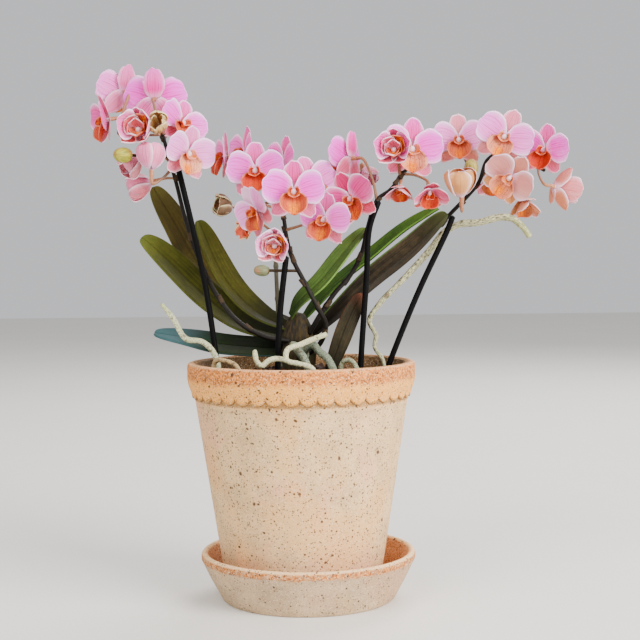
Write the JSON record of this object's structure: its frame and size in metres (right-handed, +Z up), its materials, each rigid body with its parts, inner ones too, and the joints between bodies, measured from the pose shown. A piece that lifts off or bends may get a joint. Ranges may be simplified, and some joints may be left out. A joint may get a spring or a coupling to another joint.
{
  "type": "potted moth orchid",
  "caption": "Moth orchid with staked sprays of small pink blooms, broad leaves and aerial roots, growing in bark in a clay pot with a scalloped rim band, on a clay saucer.",
  "frame": {"origin": "middle of the saucer's flat underside", "axes": "+Z up, -Y towards the front of the plant as it is usually looked at, +X to its right"},
  "size_m": [0.301, 0.14, 0.3311],
  "materials": {
    "clay": "matte",
    "bark": "matte",
    "stake": "satin",
    "dry_spike": "matte",
    "crown": "matte",
    "leaf": "satin",
    "root": "matte",
    "stem": "satin",
    "petal": "matte"
  },
  "bodies": {
    "root": {"saucer": "clay", "pot": "clay", "stake_a": "stake", "stake_b": "stake", "stake_c": "stake", "stake_d": "stake", "dry_spike": "dry_spike", "crown": "crown", "leaf_left_low": "leaf", "leaf_left_long": "leaf", "leaf_left_mid": "leaf", "leaf_left_back": "leaf", "leaf_right_front": "leaf", "leaf_right_mid": "leaf", "leaf_right_back": "leaf", "leaf_right_small": "leaf", "root_left_air": "root", "root_left_soil": "root", "root_loop": "root", "root_thick": "root", "root_right_soil": "root", "root_right_long": "root", "bloom_a1": "petal", "bloom_a2": "petal", "bloom_a3": "petal", "bloom_a4": "petal", "bloom_a6": "petal", "bloom_a7": "petal", "bloom_a10": "petal", "bloom_a8": "petal", "bloom_a11": "petal", "bloom_b0": "petal", "bloom_b1": "petal", "bloom_b2": "petal", "bloom_b3": "petal", "bloom_b4": "petal", "bloom_b5": "petal", "bloom_b6": "petal", "bloom_b7": "petal", "bloom_b9": "petal", "bloom_c1": "petal", "bloom_c2": "petal", "bloom_c3": "petal", "bloom_c4": "petal", "bloom_c5": "petal", "bloom_c6": "petal", "bloom_c7": "petal", "bloom_d1": "petal", "bloom_d2": "petal", "bloom_d3": "petal", "bloom_d4": "petal", "bloom_d6": "petal", "bloom_d7": "petal", "bloom_d8": "petal", "bloom_d9": "petal", "stem_a": "stem", "stem_b": "stem", "stem_c": "stem", "stem_d": "stem", "bark_mix": "bark"}
  },
  "joints": []
}
